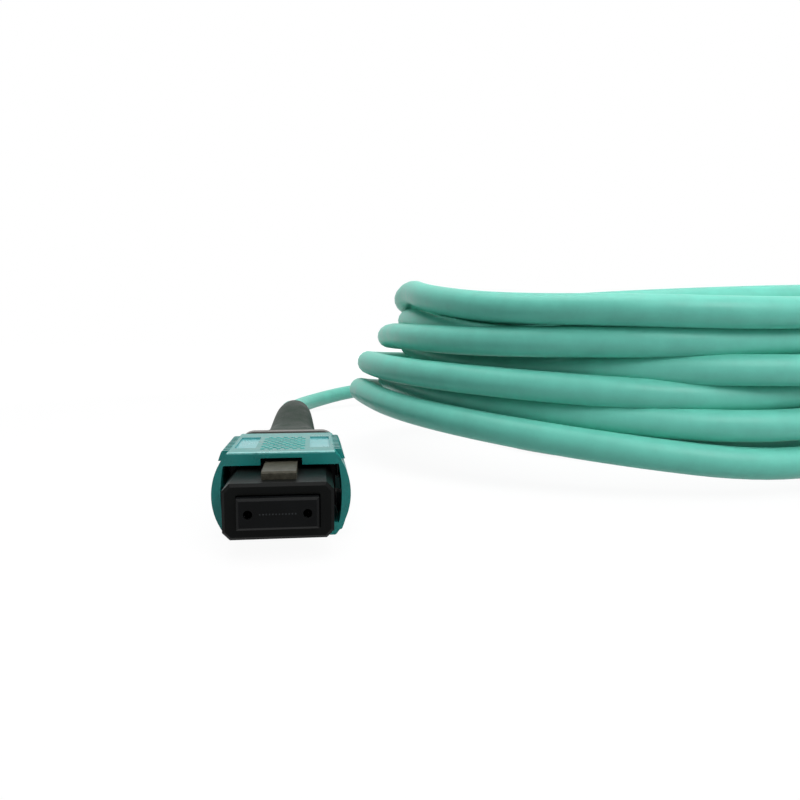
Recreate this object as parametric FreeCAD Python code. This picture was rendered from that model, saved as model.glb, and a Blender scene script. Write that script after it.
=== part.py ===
import FreeCAD
import Part
import math
import os

# A female MPO plug on each end of a round 12-fibre patch cord, in millimetres.
# Frame: X across the plug, -Y out of its nose, +Z up, the key on top.
# Origin: the centre of the coupling sleeve's flat underside, at rest.

# ---- Ferrule and what sits behind it ----
ferrule_width = 6.4
ferrule_height = 2.5
ferrule_length = 8.0
ferrule_chamfer = 0.2
flange_width = 7.0
flange_height = 3.0
flange_length = 2.0
guide_hole_radius = 0.35
guide_hole_pitch = 4.6
ferrule_pocket_side = 0.05    # between the pocket's side and the rubber boot
ferrule_pocket_height = 1.6
ferrule_pocket_depth = 4.5
glue_window_length = 1.6
glue_window_width = 2.6
ferrule_face_ahead = 0.9      # how far the ferrule stands out of the nose
ferrule_float = 0.6           # how far the ferrule can be pushed back

keeper_width = 6.8
keeper_height = 3.0
keeper_length = 2.3
keeper_spigot_length = 0.8
keeper_spigot_gap = 0.15      # between a spigot and the inside of the oval spring
keeper_spigot_wall = 0.27     # above and below its opening

boot_slot_wall = 0.17         # rubber beside the ribbon
ferrule_boot_inside = 4.2     # length of the rubber boot in the ferrule's pocket
ferrule_boot_behind = 3.6     # and behind the ferrule

ribbon_width = 3.1
ribbon_thickness = 0.3
bundle_width = 1.3
bundle_height = 0.9
ribbon_flat_behind = 7.6      # flat part of the ribbon behind the ferrule
ribbon_gather = 8.0           # where it gathers into a bundle
ribbon_spare = 0.4            # left from the bundle's end to the jacket at full float

# ---- Inner housing ----
nose_width = 8.8
nose_height = 4.5
nose_chamfer = 0.6
nose_edge = 0.25              # chamfer round the nose's face
nose_length = 10.05           # from the nose's face to the wider body
housing_width = 9.6
housing_height = 5.05
housing_length = 21.05
housing_chamfer = 0.7
key_width = 2.8
key_height = 0.65
key_setback = 1.6             # from the nose's face to the key
key_length = 8.0
key_chamfer = 0.15
spring_groove_wall = 0.35     # between a groove's floor and the cavity
spring_groove_side = 0.25     # above and below the spring in its groove
spring_groove_start = 1.0     # behind the start of the wide body
latch_wall = 0.6              # from a groove's end to the latch window behind it
latch_window_length = 1.9
latch_window_height = 2.0
latch_window_setback = 1.5    # ahead of the housing's rear face
cavity_headroom = 0.4         # more height than the ferrule's flange needs

# ---- Coupling sleeve ----
sleeve_length = 13.5
sleeve_top_wall = 1.1
sleeve_side_wall = 0.8
sleeve_side_gap = 0.45        # from the housing's side to the bore
sleeve_bulge = 1.35           # how far a side stands out from the flat top's edge
bore_bulge = 0.25
sleeve_travel = 2.8
sleeve_edge = 0.3             # softened corners of its outside
key_notch_side = 0.4          # on each side of the key
key_notch_gap = 0.35          # above the key
key_notch_spare = 0.5         # behind the key
grip_rib_count = 11
grip_rib_pitch = 0.95
grip_rib_width = 0.45
grip_rib_depth = 0.14
grip_rib_height = 5.6
grip_rib_overhang = 0.6       # of a rib's corners beyond the flat top's edge
grip_rib_edge = 0.25
grip_pad_width = 1.9
grip_pad_length = 7.4
grip_pad_depth = 0.18
grip_pad_margin = 0.35        # from a pad to the edge of the flat top
lug_length = 1.0
lug_clearance = 0.2           # from a lug to the groove round it

# ---- Springs ----
ferrule_spring_width = 6.4
ferrule_spring_height = 2.9
ferrule_spring_wire = 0.42
ferrule_spring_turns = 7
sleeve_spring_gap = 0.15      # from the groove's floor, and from the sleeve
sleeve_spring_index = 5       # diameter over wire
sleeve_spring_turns = 7
flat_turn_gap = 0.02          # between the end turns that lie flat

# ---- Rear body, crimp and strain relief ----
plug_length = 4.0             # of the rear body inside the housing
plug_bore_width = 4.3
plug_bore_height = 1.6
arm_thickness = 0.6
arm_slot = 0.35
arm_root_length = 0.5         # where the snap arms join the plug
hook_setback = 0.4            # from a hook's tip to the housing's side
hook_flat = 0.4               # the hook's full reach behind its ramp
shoulder_length = 1.7         # of the rear body that the sleeve slides over
sleeve_stop_gap = 0.15        # from the pulled-back sleeve to the rear flange
rear_flange_width = 10.6
rear_flange_height = 7.1
rear_flange_length = 1.5
rear_flange_round = 1.6
barrel_radius = 2.1
barrel_bore_radius = 1.4
barrel_length = 4.4
barrel_groove_count = 3
barrel_groove_depth = 0.1
aramid_thickness = 0.18
crimp_wall = 0.33
crimp_rear_wall = 0.42
crimp_setback = 0.7           # from the rear flange to the crimp ring
crimp_overhang = 0.1          # of the ring's wide part behind the barrel
crimp_rear_length = 3.6
jacket_setback = 0.3          # from the ring's step to the end of the jacket
boot_root_wall = 0.6          # above and below the crimp ring
boot_root_flare = 0.7         # how much wider than high the root is, on each side
boot_root_corner = 1.9
boot_shoulder_wall = 0.42     # behind the collar
boot_tip_wall = 0.38          # round the cable
boot_tip_flat = 0.05          # left of each flat side at the tip
boot_collar_length = 2.2
boot_length = 27.6
boot_gap = 0.2                # from the rear flange to the boot
boot_rise = 2.43              # how far the boot of the near plug is bent up
far_boot_rise = 1.0           # and of the far plug
boot_bend_start = 13.3        # along the plug, behind the rear flange's back
boot_bend_length = 10.0
cable_straight = 5.0          # of the cable behind the boot's tip

# ---- Clearances ----
slide_gap = 0.1               # each side of what slides or floats
snap_gap = 0.1                # each side of what is pushed in
thin_gap = 0.03               # round crimped and moulded-on pieces
groove_gap = 0.05             # from a lug to the groove's front wall
bore_gap = 0.12               # round the cable in the boot

# ---- Cord ----
cable_radius = 1.8
lead_route = [                # from inside the near boot, along the table, to the coil
    (-1.2, 58.0, 5.2),
    (-1.9, 74.0, 2.9),
    (-1.9, 91.0, 1.9),
    (-0.4, 109.0, 1.9),
    (13.0, 127.0, 4.0),
    (32.0, 136.0, 5.5),
    (52.0, 126.0, 7.5),
    (68.0, 106.0, 9.5),
    (80.0, 84.0, 11.5),
    (87.0, 62.0, 12.5),
]
tail_route = [                # from the coil towards the far plug's boot
    (95.0, 73.5, 1.9),
    (100.6, 64.0, 1.9),
    (105.2, 55.0, 3.2),
]
far_tip = (108.0, 42.0)       # where the cable leaves the far boot
coil_levels = [               # height, middle x, middle y, outer and inner radius
    (0.0, 68.0, 52.0, 36.5, 28.0),
    (6.5, 66.0, 51.0, 37.5, 29.0),
    (9.0, 51.0, 44.0, 42.5, 34.0),
    (24.5, 50.0, 43.0, 42.5, 34.5),
]

# ---- Sizes that follow from the others ----
boot_width = ribbon_width + 2 * (thin_gap + boot_slot_wall)
ferrule_pocket_width = boot_width + 2 * ferrule_pocket_side
cavity_width = max(flange_width, keeper_width) + 2 * slide_gap
cavity_height = max(flange_height, keeper_height) + 2 * slide_gap + cavity_headroom
bore_width = housing_width + 2 * sleeve_side_gap
bore_height = housing_height + 2 * slide_gap
sleeve_width = bore_width + 2 * sleeve_side_wall
sleeve_height = bore_height + 2 * sleeve_top_wall
sleeve_flat = sleeve_width - 2 * sleeve_bulge
spring_groove_floor = cavity_width / 2 + spring_groove_wall
sleeve_spring_diameter = bore_width / 2 - spring_groove_floor - 2 * sleeve_spring_gap
sleeve_spring_wire = sleeve_spring_diameter / sleeve_spring_index
spring_groove_height = sleeve_spring_diameter + 2 * spring_groove_side
spring_ease = ferrule_spring_wire + keeper_spigot_gap
yarn_radius = barrel_radius + thin_gap + aramid_thickness
ring_radius = yarn_radius + thin_gap + crimp_wall
ring_rear_radius = cable_radius + thin_gap + crimp_rear_wall
boot_root_radius = ring_radius + thin_gap + boot_root_wall
boot_shoulder_radius = ring_radius + thin_gap + boot_shoulder_wall
boot_tip_radius = cable_radius + bore_gap + boot_tip_wall
rib_flat = sleeve_flat + 2 * grip_rib_overhang

# ---- Places along the plug ----
axis_height = sleeve_height / 2
sleeve_front = -sleeve_length / 2
sleeve_rear = sleeve_length / 2
shoulder_rear = sleeve_rear + sleeve_travel + sleeve_stop_gap
housing_rear = shoulder_rear - shoulder_length
nose_face = housing_rear - housing_length
body_front = nose_face + nose_length
ferrule_face = nose_face - ferrule_face_ahead
ferrule_rear = ferrule_face + ferrule_length
flange_front = ferrule_rear - flange_length
keeper_rear = ferrule_rear + keeper_length
plug_front = housing_rear - plug_length
flange_rear = shoulder_rear + rear_flange_length
barrel_rear = flange_rear + barrel_length
crimp_front = flange_rear + crimp_setback
crimp_step = barrel_rear + crimp_overhang
crimp_rear = crimp_step + crimp_rear_length
cable_start = crimp_step + jacket_setback
bundle_end = cable_start - ferrule_float - ribbon_spare
boot_front = flange_rear + boot_gap
boot_tip = boot_front + boot_length
window_rear = housing_rear - latch_window_setback
window_front = window_rear - latch_window_length
groove_front = body_front + spring_groove_start
groove_rear = window_front - latch_wall
lug_front = groove_front + groove_gap
lug_rear = lug_front + lug_length
key_front = nose_face + key_setback
key_rear = key_front + key_length
nose_top = axis_height + nose_height / 2


def vec(x, y, z):
    return FreeCAD.Vector(x, y, z)


def block(width, height, start, end, middle=0.0, level=None):
    """A block centred on the plug's axis, from start to end along the plug."""
    z = axis_height if level is None else level
    return Part.makeBox(width, end - start, height, vec(middle - width / 2, start, z - height / 2))


def side_block(inner, outer, height, start, end, side):
    """A block on one side of the plug, from inner to outer off the middle plane."""
    return block(outer - inner, height, start, end, side * (inner + outer) / 2)


def along(wire, start, end):
    """The solid of a section drawn at y = 0, from start to end along the plug."""
    face = Part.Face(wire)
    face.translate(vec(0, start, 0))
    return face.extrude(vec(0, end - start, 0))


def cut_corner_section(width, height, cut):
    """A rectangle on the axis whose corners are cut off."""
    w, h = width / 2, height / 2
    corners = [(w - cut, h), (w, h - cut), (w, cut - h), (w - cut, -h)]
    corners += [(-x, z) for x, z in reversed(corners)]
    points = [vec(x, 0, axis_height + z) for x, z in corners]
    return Part.makePolygon(points + points[:1])


def bulged_section(flat, width, height):
    """Flat top and bottom, joined by sides that bulge out to the full width."""
    f, w, h = flat / 2, width / 2, height / 2
    top = [vec(x, 0, axis_height + h) for x in (-f, f)]
    bottom = [vec(x, 0, axis_height - h) for x in (f, -f)]
    middle = [vec(x, 0, axis_height) for x in (w, -w)]
    edges = [
        Part.LineSegment(top[0], top[1]).toShape(),
        Part.Arc(top[1], middle[0], bottom[0]).toShape(),
        Part.LineSegment(bottom[0], bottom[1]).toShape(),
        Part.Arc(bottom[1], middle[1], top[0]).toShape(),
    ]
    return Part.Wire(edges)


def oval_section(width, height):
    """A slot shape on the axis: straight top and bottom, half round ends."""
    r = height / 2
    s = width / 2 - r
    z = axis_height
    edges = [
        Part.LineSegment(vec(-s, 0, z + r), vec(s, 0, z + r)).toShape(),
        Part.Arc(vec(s, 0, z + r), vec(s + r, 0, z), vec(s, 0, z - r)).toShape(),
        Part.LineSegment(vec(s, 0, z - r), vec(-s, 0, z - r)).toShape(),
        Part.Arc(vec(-s, 0, z - r), vec(-s - r, 0, z), vec(-s, 0, z + r)).toShape(),
    ]
    return Part.Wire(edges)


def rounded_section(width, height, corner):
    """A rectangle about the origin with rounded corners."""
    x, z = width / 2 - corner, height / 2 - corner
    slant = corner * math.sqrt(0.5)
    arcs = []
    for across, up in ((1, 1), (-1, 1), (-1, -1), (1, -1)):
        side = vec(across * (x + corner), 0, up * z)
        level = vec(across * x, 0, up * (z + corner))
        middle = vec(across * (x + slant), 0, up * (z + slant))
        arcs.append((side, middle, level) if across == up else (level, middle, side))
    edges = []
    for arc, following in zip(arcs, arcs[1:] + arcs[:1]):
        edges.append(Part.Arc(*arc).toShape())
        edges.append(Part.LineSegment(arc[2], following[0]).toShape())
    return Part.Wire(edges)


def rod(radius, start, end, x=0.0):
    """A round bar along the plug."""
    return Part.makeCylinder(radius, end - start, vec(x, start, axis_height), vec(0, 1, 0))


def turned(profile):
    """A ring turned about the plug's axis, from (radius, place along the plug) points."""
    points = [vec(r, y, axis_height) for r, y in profile]
    face = Part.Face(Part.makePolygon(points + points[:1]))
    return face.revolve(vec(0, 0, axis_height), vec(0, 1, 0), 360)


def inner_housing():
    """The nose with its key, and the wider body with spring grooves and latch windows."""
    nose = along(cut_corner_section(nose_width, nose_height, nose_chamfer), nose_face, body_front)
    face_edges = [e for e in nose.Edges if abs(e.BoundBox.YMax - nose_face) < 1e-6]
    nose = nose.makeChamfer(nose_edge, face_edges)
    body = along(
        cut_corner_section(housing_width, housing_height, housing_chamfer), body_front, housing_rear
    )
    key = block(key_width, 2 * key_height, key_front, key_rear, level=nose_top)
    front_edges = [e for e in key.Edges if abs(e.BoundBox.YMax - key_front) < 1e-6]
    top_edges = [e for e in front_edges if e.BoundBox.ZMin > nose_top]
    key = key.makeChamfer(key_chamfer, top_edges)
    shape = nose.fuse([body, key]).removeSplitter()
    window = block(
        ferrule_width + 2 * slide_gap, ferrule_height + 2 * slide_gap, nose_face, flange_front
    )
    cavity = block(cavity_width, cavity_height, flange_front, housing_rear)
    cuts = [window, cavity]
    for side in (-1, 1):
        cuts.append(
            side_block(
                spring_groove_floor, housing_width, spring_groove_height,
                groove_front, groove_rear, side,
            )
        )
        cuts.append(
            side_block(0, housing_width, latch_window_height, window_front, window_rear, side)
        )
    return shape.cut(cuts)


def ferrule():
    """The ferrule with its flange, guide-pin holes, ribbon pocket and glue window."""
    nose = block(ferrule_width, ferrule_height, ferrule_face, ferrule_rear)
    front = [e for e in nose.Edges if abs(e.BoundBox.YMax - ferrule_face) < 1e-6]
    nose = nose.makeChamfer(ferrule_chamfer, front)
    flange = block(flange_width, flange_height, flange_front, ferrule_rear)
    pocket_end = ferrule_rear - ferrule_pocket_depth
    cuts = [
        block(ferrule_pocket_width, ferrule_pocket_height, pocket_end, ferrule_rear),
        block(
            glue_window_width, ferrule_height, flange_front - glue_window_length, flange_front,
            level=axis_height + ferrule_height / 2,
        ),
    ]
    for side in (-1, 1):
        cuts.append(
            rod(guide_hole_radius, ferrule_face, ferrule_rear, side * guide_hole_pitch / 2)
        )
    return nose.fuse(flange).removeSplitter().cut(cuts)


def spring_spigot(start, end):
    """An oval spigot that keeps the ferrule's spring in line."""
    section = oval_section(
        ferrule_spring_width - 2 * spring_ease, ferrule_spring_height - 2 * spring_ease
    )
    return along(section, start, end)


def pin_keeper():
    """The pinless keeper between the ferrule and its spring."""
    plate = block(keeper_width, keeper_height, ferrule_rear, keeper_rear)
    spigot = spring_spigot(keeper_rear, keeper_rear + keeper_spigot_length)
    opening = block(
        ferrule_pocket_width + snap_gap, ferrule_boot_height() + 2 * thin_gap,
        ferrule_rear, keeper_rear + keeper_spigot_length,
    )
    pin_channel = block(
        keeper_width, 2 * (guide_hole_radius + snap_gap),
        ferrule_rear, ferrule_rear + keeper_length / 2,
    )
    return plate.fuse(spigot).removeSplitter().cut([opening, pin_channel])


def ferrule_boot_height():
    """The rubber boot's height, which passes through the keeper's spigot."""
    opening = ferrule_spring_height - 2 * (spring_ease + keeper_spigot_wall)
    return min(ferrule_pocket_height, opening) - 2 * thin_gap


def ferrule_boot():
    """The rubber boot that guides the ribbon into the ferrule."""
    start = ferrule_rear - ferrule_boot_inside
    end = ferrule_rear + ferrule_boot_behind
    sleeve = block(boot_width, ferrule_boot_height(), start, end)
    slot = block(ribbon_width + 2 * thin_gap, ribbon_thickness + 2 * thin_gap, start, end)
    return sleeve.cut(slot)


def fibre_ribbon():
    """The ribbon from the ferrule's pocket, gathered into a bundle for the cable."""
    start = ferrule_rear - ferrule_boot_inside
    flat_end = ferrule_rear + ribbon_flat_behind
    gather_end = flat_end + ribbon_gather
    flat = block(ribbon_width, ribbon_thickness, start, flat_end)
    bundle = block(bundle_width, bundle_height, gather_end, bundle_end)
    sections = []
    for width, height, place in (
        (ribbon_width, ribbon_thickness, flat_end),
        (bundle_width, bundle_height, gather_end),
    ):
        wire = cut_corner_section(width, height, height / 4)
        wire.translate(vec(0, place, 0))
        sections.append(wire)
    gather = Part.makeLoft(sections, True, True)
    return flat.fuse([gather, bundle])


def spring_points(x_radius, z_radius, straight, turns, start, end, wire):
    """Middle line of a coil spring along the plug: its first and last turns lie flat."""
    steps = 10
    lift = wire + flat_turn_gap
    open_turns = turns - 2
    points = []
    for i in range(turns * steps + 1):
        turn = i / steps
        angle = 2 * math.pi * turn
        flat = lift * (min(turn, 1) + max(turn - turns + 1, 0))
        rise = (end - start - wire - 2 * lift) * min(max(turn - 1, 0), open_turns) / open_turns
        x = x_radius * math.cos(angle)
        if straight:
            x += math.copysign(straight, math.cos(angle)) if abs(math.cos(angle)) > 1e-9 else 0.0
        points.append(
            (x, start + wire / 2 + flat + rise, z_radius * math.sin(angle), math.cos(angle),
             math.sin(angle))
        )
    return points


def coil_spring(width, height, wire, turns, start, end, x=0.0):
    """A spring of square wire, built face by face along its middle line."""
    z_radius = (height - wire) / 2
    straight = (width - height) / 2
    line = spring_points(z_radius, z_radius, straight, turns, start, end, wire)
    half = wire / 2
    rings = []
    for px, py, pz, out_x, out_z in line:
        ring = []
        for radial, lengthways in ((1, -1), (1, 1), (-1, 1), (-1, -1)):
            ring.append(
                vec(
                    x + px + radial * half * out_x,
                    py + lengthways * half,
                    axis_height + pz + radial * half * out_z,
                )
            )
        rings.append(ring)
    faces = []
    for near, far in zip(rings, rings[1:]):
        for a in range(4):
            b = (a + 1) % 4
            for corners in ((near[a], near[b], far[b]), (near[a], far[b], far[a])):
                faces.append(Part.Face(Part.makePolygon(list(corners) + [corners[0]])))
    for ring in (rings[0], rings[-1]):
        faces.append(Part.Face(Part.makePolygon(ring + [ring[0]])))
    solid = Part.Solid(Part.Shell(faces))
    if solid.Volume < 0:
        solid.reverse()
    return solid


def sleeve_spring(side):
    """The return spring of the sleeve, between a lug and the end of its groove."""
    middle = side * (spring_groove_floor + sleeve_spring_gap + sleeve_spring_diameter / 2)
    return coil_spring(
        sleeve_spring_diameter, sleeve_spring_diameter, sleeve_spring_wire,
        sleeve_spring_turns, lug_rear + thin_gap, groove_rear - thin_gap, middle,
    )


def ferrule_spring():
    """The oval spring between the pin keeper and the rear body."""
    return coil_spring(
        ferrule_spring_width, ferrule_spring_height, ferrule_spring_wire,
        ferrule_spring_turns, keeper_rear + thin_gap, plug_front - thin_gap,
    )


def grip_grooves():
    """What is cut between the grip ribs on both sides of the sleeve."""
    first = -grip_rib_pitch * (grip_rib_count - 1) / 2
    skin = along(bulged_section(sleeve_flat + 2, sleeve_width + 2, grip_rib_height),
                 sleeve_front, sleeve_rear)
    core = along(
        bulged_section(
            sleeve_flat - 2 * grip_rib_depth, sleeve_width - 2 * grip_rib_depth, sleeve_height
        ),
        sleeve_front, sleeve_rear,
    )
    shell = skin.cut(core)
    slots = [
        block(
            2 * sleeve_width, grip_rib_height,
            first + i * grip_rib_pitch - grip_rib_pitch / 2 + grip_rib_width / 2,
            first + i * grip_rib_pitch + grip_rib_pitch / 2 - grip_rib_width / 2,
        )
        for i in range(grip_rib_count)
    ]
    return [shell.common(slot) for slot in slots]


def softened(shape, radius, length):
    """A bulged bar with its four long corners rounded."""
    corners = [
        e for e in shape.Edges
        if e.BoundBox.YLength > length - 0.01 and e.BoundBox.ZLength < 0.01
    ]
    return shape.makeFillet(radius, corners)


def grip_ribs():
    """The ribs of both sides, whose corners overhang the flat top and underside."""
    section = bulged_section(rib_flat, sleeve_width, sleeve_height)
    first = -grip_rib_pitch * (grip_rib_count - 1) / 2 - grip_rib_width / 2
    rib = softened(along(section, first, first + grip_rib_width), grip_rib_edge, grip_rib_width)
    ribs = []
    for i in range(grip_rib_count):
        copy = rib.copy()
        copy.translate(vec(0, i * grip_rib_pitch, 0))
        ribs.append(copy)
    return ribs


def coupling_sleeve():
    """The sliding sleeve: bulged sides with grip ribs, thumb pads, key notch and lugs."""
    outer = along(bulged_section(sleeve_flat, sleeve_width, sleeve_height), sleeve_front, sleeve_rear)
    outer = softened(outer, sleeve_edge, sleeve_length).fuse(grip_ribs())
    bore = along(
        bulged_section(bore_width - 2 * bore_bulge, bore_width, bore_height),
        sleeve_front, sleeve_rear,
    )
    notch = block(
        key_width + 2 * key_notch_side, 2 * (key_height + key_notch_gap),
        sleeve_front, key_rear + key_notch_spare, level=nose_top,
    )
    pad_middle = sleeve_flat / 2 - grip_pad_margin - grip_pad_width / 2
    pads = []
    for side in (-1, 1):
        for level in (0, sleeve_height):
            pads.append(
                block(
                    grip_pad_width, 2 * grip_pad_depth, -grip_pad_length / 2, grip_pad_length / 2,
                    side * pad_middle, level,
                )
            )
    shape = outer.cut([bore, notch] + pads + grip_grooves())
    lugs = [
        side_block(
            spring_groove_floor + lug_clearance, (bore_width + sleeve_side_wall) / 2,
            spring_groove_height - 2 * lug_clearance, lug_front, lug_rear, side,
        )
        for side in (-1, 1)
    ]
    return shape.fuse(lugs)


def rear_body():
    """The spring push: snap-in plug with two hooks, shoulder, flange and crimp barrel."""
    plug_width = cavity_width - 2 * snap_gap
    plug = block(plug_width, cavity_height - 2 * snap_gap, plug_front, housing_rear)
    spigot = spring_spigot(plug_front - keeper_spigot_length, plug_front)
    shoulder = along(
        cut_corner_section(housing_width, housing_height, housing_chamfer),
        housing_rear, shoulder_rear,
    )
    flange = block(rear_flange_width, rear_flange_height, shoulder_rear, flange_rear)
    corners = [e for e in flange.Edges if e.BoundBox.YLength > rear_flange_length - 0.01]
    flange = flange.makeFillet(rear_flange_round, corners)
    barrel = rod(barrel_radius, flange_rear, barrel_rear)
    hook_front, hook_rear = window_front + snap_gap, window_rear - snap_gap
    hooks = []
    for side in (-1, 1):
        tip = housing_width / 2 - hook_setback
        outline = [
            vec(side * (plug_width / 2 - arm_thickness / 2), hook_front, 0),
            vec(side * plug_width / 2, hook_front, 0),
            vec(side * tip, hook_rear - hook_flat, 0),
            vec(side * tip, hook_rear, 0),
            vec(side * (plug_width / 2 - arm_thickness / 2), hook_rear, 0),
        ]
        height = latch_window_height - 2 * snap_gap
        hook = Part.Face(Part.makePolygon(outline + outline[:1]))
        hook.translate(vec(0, 0, axis_height - height / 2))
        hooks.append(hook.extrude(vec(0, 0, height)))
    shape = plug.fuse([spigot, shoulder, flange, barrel] + hooks).removeSplitter()
    cuts = [
        block(plug_bore_width, plug_bore_height, plug_front - keeper_spigot_length, shoulder_rear),
        rod(barrel_bore_radius, shoulder_rear, barrel_rear),
    ]
    arm_inside = plug_width / 2 - arm_thickness
    for side in (-1, 1):
        cuts.append(
            side_block(
                arm_inside - arm_slot, arm_inside, cavity_height,
                plug_front, housing_rear - arm_root_length, side,
            )
        )
    pitch = barrel_length / (barrel_groove_count + 1)
    for i in range(barrel_groove_count):
        place = flange_rear + pitch * (i + 1)
        cuts.append(
            turned([
                (barrel_radius - barrel_groove_depth, place - pitch / 4),
                (barrel_radius + 1, place - pitch / 4),
                (barrel_radius + 1, place + pitch / 4),
                (barrel_radius - barrel_groove_depth, place + pitch / 4),
            ])
        )
    return shape.cut(cuts)


def aramid_yarn():
    """The strength yarn, folded over the barrel under the crimp ring."""
    inner = barrel_radius + thin_gap
    return turned([
        (inner, crimp_front + thin_gap), (yarn_radius, crimp_front + thin_gap),
        (yarn_radius, barrel_rear), (inner, barrel_rear),
    ])


def crimp_ring():
    """The stepped ring: over the barrel in front, down on the jacket behind."""
    front_bore = yarn_radius + thin_gap
    rear_bore = cable_radius + thin_gap
    return turned([
        (front_bore, crimp_front), (ring_radius, crimp_front), (ring_radius, crimp_step),
        (ring_rear_radius, crimp_step + crimp_wall), (ring_rear_radius, crimp_rear),
        (rear_bore, crimp_rear), (rear_bore, crimp_step), (front_bore, crimp_step),
    ])


def boot_corners(rise):
    """Corners of the middle line of a boot that is bent up by rise."""
    bend = flange_rear + boot_bend_start
    return [
        (0.0, cable_start, axis_height),
        (0.0, bend, axis_height),
        (0.0, bend + boot_bend_length, axis_height + rise),
        (0.0, boot_tip + cable_straight, axis_height + rise),
    ]


def boot_section(share, centre, direction):
    """The boot's outline across its middle line, from 0 at the collar to 1 at the tip."""
    height = 2 * (boot_shoulder_radius + (boot_tip_radius - boot_shoulder_radius) * share)
    width = height + 2 * boot_root_flare * (1 - share)
    corner = boot_root_corner + (boot_tip_radius - boot_tip_flat - boot_root_corner) * share
    section = rounded_section(width, height, corner)
    turn = FreeCAD.Rotation(vec(0, 1, 0), direction)
    section.Placement = FreeCAD.Placement(centre, turn)
    return section


def strain_relief_boot(rise):
    """The rubber boot: a wide collar, tapering round the bent cable to a round tip."""
    middle = rounded_path(boot_corners(rise))
    collar_end = boot_front + boot_collar_length
    collar = along(
        rounded_section(
            2 * (boot_root_radius + boot_root_flare), 2 * boot_root_radius,
            boot_root_corner,
        ),
        boot_front, collar_end,
    )
    collar.translate(vec(0, 0, axis_height))
    sections = [boot_section(0, vec(0, collar_end, axis_height), vec(0, 1, 0))]
    stations = 9
    for i in range(1, stations):
        share = i / (stations - 1)
        centre, direction = point_on(middle, collar_end + (boot_tip - collar_end) * share)
        sections.append(boot_section(share, centre, direction))
    tail = Part.makeLoft(sections, True, False)
    bores = [
        rod(ring_radius + thin_gap, boot_front, crimp_step + crimp_wall),
        rod(ring_rear_radius + thin_gap, crimp_step, crimp_rear + snap_gap),
        sweep(boot_corners(rise), cable_radius + bore_gap),
    ]
    return collar.fuse(tail).cut(bores)


def point_on(path, y):
    """The point of a path at y, and its direction there."""
    for edge in path.Edges:
        low, high = edge.BoundBox.YMin, edge.BoundBox.YMax
        if low - 1e-6 <= y <= high + 1e-6:
            plane = Part.Plane(vec(0, y, 0), vec(0, 1, 0))
            hits = edge.Curve.intersect(plane)[0]
            hit = min(hits, key=lambda p: abs(p.Z - axis_height))
            spot = vec(hit.X, hit.Y, hit.Z)
            direction = edge.tangentAt(edge.Curve.parameter(spot))
            if direction.y < 0:
                direction = direction.negative()
            return spot, direction
    raise ValueError("the path does not reach y = %.2f" % y)


def corner_radius(before, corner, after):
    """The largest arc that a corner's two runs allow, and half of its turn."""
    first, second = corner - before, after - corner
    half = first.getAngle(second) / 2
    return 0.45 * min(first.Length, second.Length) / math.tan(half), half


def rounded_path(corners):
    """Straight runs joined by tangent arcs."""
    points = [vec(*p) for p in corners]
    edges, last = [], points[0]
    for before, corner, after in zip(points, points[1:], points[2:]):
        radius, half = corner_radius(before, corner, after)
        back, ahead = (before - corner).normalize(), (after - corner).normalize()
        reach = radius * math.tan(half)
        start, end = corner + back * reach, corner + ahead * reach
        centre_way = (back + ahead).normalize()
        middle = corner + centre_way * (radius / math.cos(half) - radius)
        edges.append(Part.LineSegment(last, start).toShape())
        edges.append(Part.Arc(start, middle, end).toShape())
        last = end
    edges.append(Part.LineSegment(last, points[-1]).toShape())
    return Part.Wire(edges)


def sweep(corners, radius):
    """A round tube along a path of corners."""
    path = rounded_path(corners)
    start = vec(*corners[0])
    direction = vec(*corners[1]) - start
    section = Part.Wire(Part.makeCircle(radius, start, direction))
    return path.makePipeShell([section], True, False)


def coil_ring():
    """The outer shape of the loose coil: a ring whose upper turns lean to one side."""
    sides = []
    for column in (3, 4):
        wires = [
            Part.Wire(Part.makeCircle(level[column], vec(level[1], level[2], level[0])))
            for level in coil_levels
        ]
        sides.append(Part.makeLoft(wires, True, True))
    return sides[0].cut(sides[1])


def report_cord(name, corners, tube):
    """Prints a tube's radii, and its volume against section times length."""
    points = [vec(*p) for p in corners]
    radii = [
        corner_radius(a, b, c)[0] for a, b, c in zip(points, points[1:], points[2:])
    ]
    length = rounded_path(corners).Length
    share = tube.Volume / (math.pi * cable_radius ** 2 * length)
    print("%s: length %.1f, volume / (section x length) %.4f" % (name, length, share))
    print("  radii in diameters:", [round(r / (2 * cable_radius), 1) for r in radii])


def cord():
    """The lead, the coil and the tail, which meet face to face."""
    coil = coil_ring()
    lead_corners = boot_corners(boot_rise) + lead_route
    lead = sweep(lead_corners, cable_radius)
    report_cord("lead", lead_corners, lead)
    far_boot = [far_place().multVec(vec(*p)) for p in reversed(boot_corners(far_boot_rise))]
    tail_corners = tail_route + [tuple(p) for p in far_boot]
    tail = sweep(tail_corners, cable_radius)
    report_cord("tail", tail_corners, tail)
    return {
        "cable_lead": largest(lead.cut(coil)),
        "cable_coil": coil,
        "cable_tail": largest(tail.cut(coil)),
    }


def largest(shape):
    """The largest solid of a shape."""
    return max(shape.Solids, key=lambda s: s.Volume)


def far_place():
    """Where the far plug lies: beside the coil, with its sleeve on the table."""
    return FreeCAD.Placement(vec(far_tip[0], far_tip[1] - boot_tip, 0), FreeCAD.Rotation())


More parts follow.
